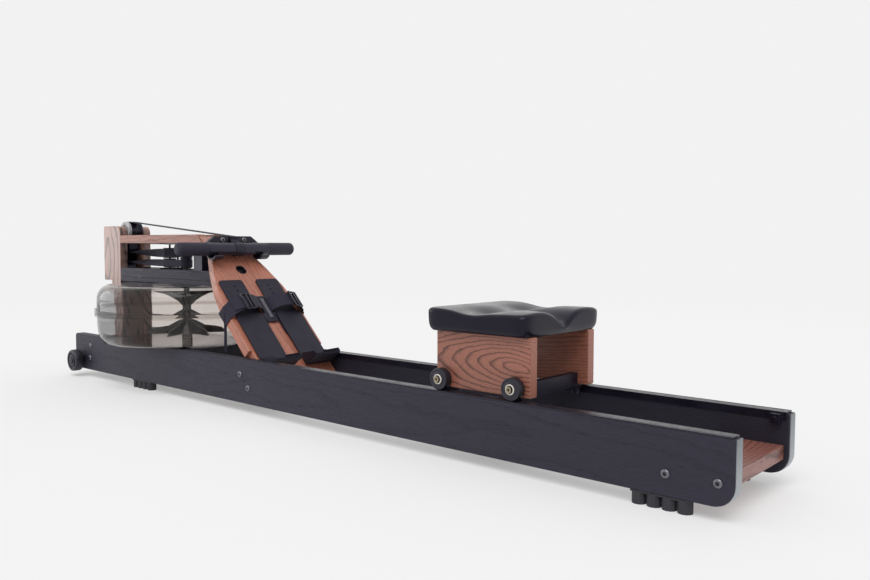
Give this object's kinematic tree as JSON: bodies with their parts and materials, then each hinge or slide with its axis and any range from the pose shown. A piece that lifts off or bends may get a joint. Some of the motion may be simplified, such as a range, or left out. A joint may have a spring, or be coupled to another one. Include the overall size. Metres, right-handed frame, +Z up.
{
  "type": "water rowing machine",
  "caption": "Wooden rowing machine with a round water tank, strap-driven impeller, sliding seat on side rails, sloping footboard and pull handle",
  "frame": {"origin": "centre of the footprint on the floor", "axes": "+X towards the seat end of the rails, +Y to the rower's right, +Z up"},
  "size_m": [2.09, 0.4986, 0.4809],
  "materials": {
    "rosewood": "satin red-brown stained ash with open grain",
    "black_wood": "satin black stained ash",
    "black_plastic": "moulded black plastic",
    "grey_plastic": "light grey moulded plastic",
    "rubber": "black rubber",
    "foam": "black foam rubber",
    "webbing": "woven black webbing",
    "steel": "plain steel",
    "black_steel": "black coated steel",
    "smoked_shell": "clear smoked polycarbonate",
    "smoked_vane": "dark smoked plastic",
    "cushion": "moulded black polyurethane skin"
  },
  "bodies": {
    "root": {"rail_left": "black_wood", "rail_right": "black_wood", "tank_top_beam": "black_wood", "footboard_cross_block": "black_wood", "front_cross_board": "rosewood", "tail_cross_board": "rosewood", "footboard": "rosewood", "kingpost": "rosewood", "hook_block": "rosewood", "deck_plank_left": "rosewood", "deck_plank_right": "rosewood", "track_left": "black_plastic", "track_right": "black_plastic", "foot_plate_left": "black_plastic", "foot_plate_right": "black_plastic", "deck_rear_block": "black_plastic", "handle_hooks": "black_plastic", "foot_front_left": "rubber", "foot_front_right": "rubber", "foot_rear_left": "rubber", "foot_rear_right": "rubber", "drive_strap": "webbing", "recoil_belt": "webbing", "bungee_cord": "webbing", "foot_straps": "webbing", "top_pulley_axle": "steel", "base_pulley_bracket": "steel", "pulley_bracket": "black_steel", "shaft_bearing": "black_steel", "shaft_bridge": "black_steel", "roller_frame": "black_steel", "transport_axle": "black_steel", "tank_upper_shell": "smoked_shell", "tank_lower_shell": "smoked_shell"},
    "seat": {"seat_board_left": "rosewood", "seat_board_right": "rosewood", "seat_axle_front": "black_plastic", "seat_axle_rear": "black_plastic", "seat_pan": "black_plastic", "seat_cushion": "cushion"},
    "handle": {"handle_bar": "black_plastic", "handle_grip_left": "foam", "handle_grip_right": "foam"},
    "seat_wheel_front_left": {"seat_wheel_front_left": "rubber"},
    "seat_wheel_front_right": {"seat_wheel_front_right": "rubber"},
    "seat_wheel_rear_left": {"seat_wheel_rear_left": "rubber"},
    "seat_wheel_rear_right": {"seat_wheel_rear_right": "rubber"},
    "clutch_drum": {"clutch_drum": "black_plastic"},
    "guide_roller_upper": {"guide_roller_upper": "black_plastic"},
    "guide_roller_lower": {"guide_roller_lower": "black_plastic"},
    "top_pulley": {"top_pulley": "grey_plastic"},
    "drive_pulley": {"drive_pulley": "black_plastic"},
    "recoil_pulley": {"recoil_pulley": "black_plastic"},
    "base_pulley": {"base_pulley": "black_plastic"},
    "bungee_pulley": {"bungee_pulley": "black_plastic"},
    "impeller": {"impeller": "smoked_vane"},
    "heel_rest_left": {"heel_rest_left": "black_plastic"},
    "heel_rest_right": {"heel_rest_right": "black_plastic"},
    "transport_wheel_left": {"transport_wheel_left": "rubber"},
    "transport_wheel_right": {"transport_wheel_right": "rubber"}
  },
  "joints": [
    {"name": "seat_slide", "type": "slide", "parent": "root", "child": "seat", "axis": [1, 0, 0], "range_m": [-0.44, 0.355]},
    {"name": "handle_pull", "type": "slide", "parent": "root", "child": "handle", "axis": [0.9903, 0, 0.1392], "range_m": [0, 1.2], "stiffness_N_per_m": 20, "springref_m": -1, "deforming": ["drive_strap"]},
    {"name": "seat_wheel_front_left_spin", "type": "hinge", "parent": "seat", "child": "seat_wheel_front_left", "pos_m": [0.4705, -0.1195, 0.152], "axis": [0, 1, 0], "continuous": true},
    {"name": "seat_wheel_front_right_spin", "type": "hinge", "parent": "seat", "child": "seat_wheel_front_right", "pos_m": [0.4705, 0.1195, 0.152], "axis": [0, 1, 0], "continuous": true},
    {"name": "seat_wheel_rear_left_spin", "type": "hinge", "parent": "seat", "child": "seat_wheel_rear_left", "pos_m": [0.6405, -0.1195, 0.152], "axis": [0, 1, 0], "continuous": true},
    {"name": "seat_wheel_rear_right_spin", "type": "hinge", "parent": "seat", "child": "seat_wheel_rear_right", "pos_m": [0.6405, 0.1195, 0.152], "axis": [0, 1, 0], "continuous": true},
    {"name": "clutch_drum_spin", "type": "hinge", "parent": "root", "child": "clutch_drum", "pos_m": [-0.614, 0, 0.37], "axis": [0, 0, 1], "continuous": true},
    {"name": "guide_roller_upper_spin", "type": "hinge", "parent": "root", "child": "guide_roller_upper", "pos_m": [-0.702, 0, 0.384], "axis": [0, 0, 1], "continuous": true},
    {"name": "guide_roller_lower_spin", "type": "hinge", "parent": "root", "child": "guide_roller_lower", "pos_m": [-0.702, 0, 0.3545], "axis": [0, 0, 1], "continuous": true},
    {"name": "top_pulley_spin", "type": "hinge", "parent": "root", "child": "top_pulley", "pos_m": [-0.925, 0, 0.4527], "axis": [0, 1, 0], "continuous": true},
    {"name": "drive_pulley_spin", "type": "hinge", "parent": "root", "child": "drive_pulley", "pos_m": [-0.933, 0, 0.4023], "axis": [0, 1, 0], "continuous": true},
    {"name": "recoil_pulley_spin", "type": "hinge", "parent": "root", "child": "recoil_pulley", "pos_m": [-0.9437, 0, 0.3362], "axis": [0, 1, 0], "continuous": true},
    {"name": "base_pulley_spin", "type": "hinge", "parent": "root", "child": "base_pulley", "pos_m": [-0.9497, 0, 0.0364], "axis": [0, 1, 0], "continuous": true},
    {"name": "bungee_pulley_spin", "type": "hinge", "parent": "root", "child": "bungee_pulley", "pos_m": [0.94, 0, 0.0231], "axis": [0, 0, 1], "continuous": true},
    {"name": "impeller_spin", "type": "hinge", "parent": "root", "child": "impeller", "pos_m": [-0.614, 0, 0.25], "axis": [0, 0, 1], "continuous": true},
    {"name": "heel_rest_left_slide", "type": "slide", "parent": "root", "child": "heel_rest_left", "axis": [0.7071, 0, -0.7071], "range_m": [-0.045, 0.012]},
    {"name": "heel_rest_right_slide", "type": "slide", "parent": "root", "child": "heel_rest_right", "axis": [0.7071, 0, -0.7071], "range_m": [-0.045, 0.012]},
    {"name": "transport_wheel_left_spin", "type": "hinge", "parent": "root", "child": "transport_wheel_left", "pos_m": [-1.005, -0.1525, 0.0495], "axis": [0, 1, 0], "continuous": true},
    {"name": "transport_wheel_right_spin", "type": "hinge", "parent": "root", "child": "transport_wheel_right", "pos_m": [-1.005, 0.1525, 0.0495], "axis": [0, 1, 0], "continuous": true}
  ],
  "couplings": [
    {"joint": "seat_wheel_front_left_spin", "follows": "seat_slide", "rad_per_m": 47.619},
    {"joint": "seat_wheel_front_right_spin", "follows": "seat_slide", "rad_per_m": 47.619},
    {"joint": "seat_wheel_rear_left_spin", "follows": "seat_slide", "rad_per_m": 47.619},
    {"joint": "seat_wheel_rear_right_spin", "follows": "seat_slide", "rad_per_m": 47.619},
    {"joint": "clutch_drum_spin", "follows": "handle_pull", "rad_per_m": 57.803},
    {"joint": "guide_roller_upper_spin", "follows": "handle_pull", "rad_per_m": -51.813},
    {"joint": "guide_roller_lower_spin", "follows": "handle_pull", "rad_per_m": 51.813},
    {"joint": "top_pulley_spin", "follows": "handle_pull", "rad_per_m": 36.63},
    {"joint": "drive_pulley_spin", "follows": "handle_pull", "rad_per_m": 51.813},
    {"joint": "recoil_pulley_spin", "follows": "handle_pull", "rad_per_m": 51.813},
    {"joint": "base_pulley_spin", "follows": "handle_pull", "rad_per_m": 75.188},
    {"joint": "bungee_pulley_spin", "follows": "handle_pull", "rad_per_m": -27.322}
  ]
}
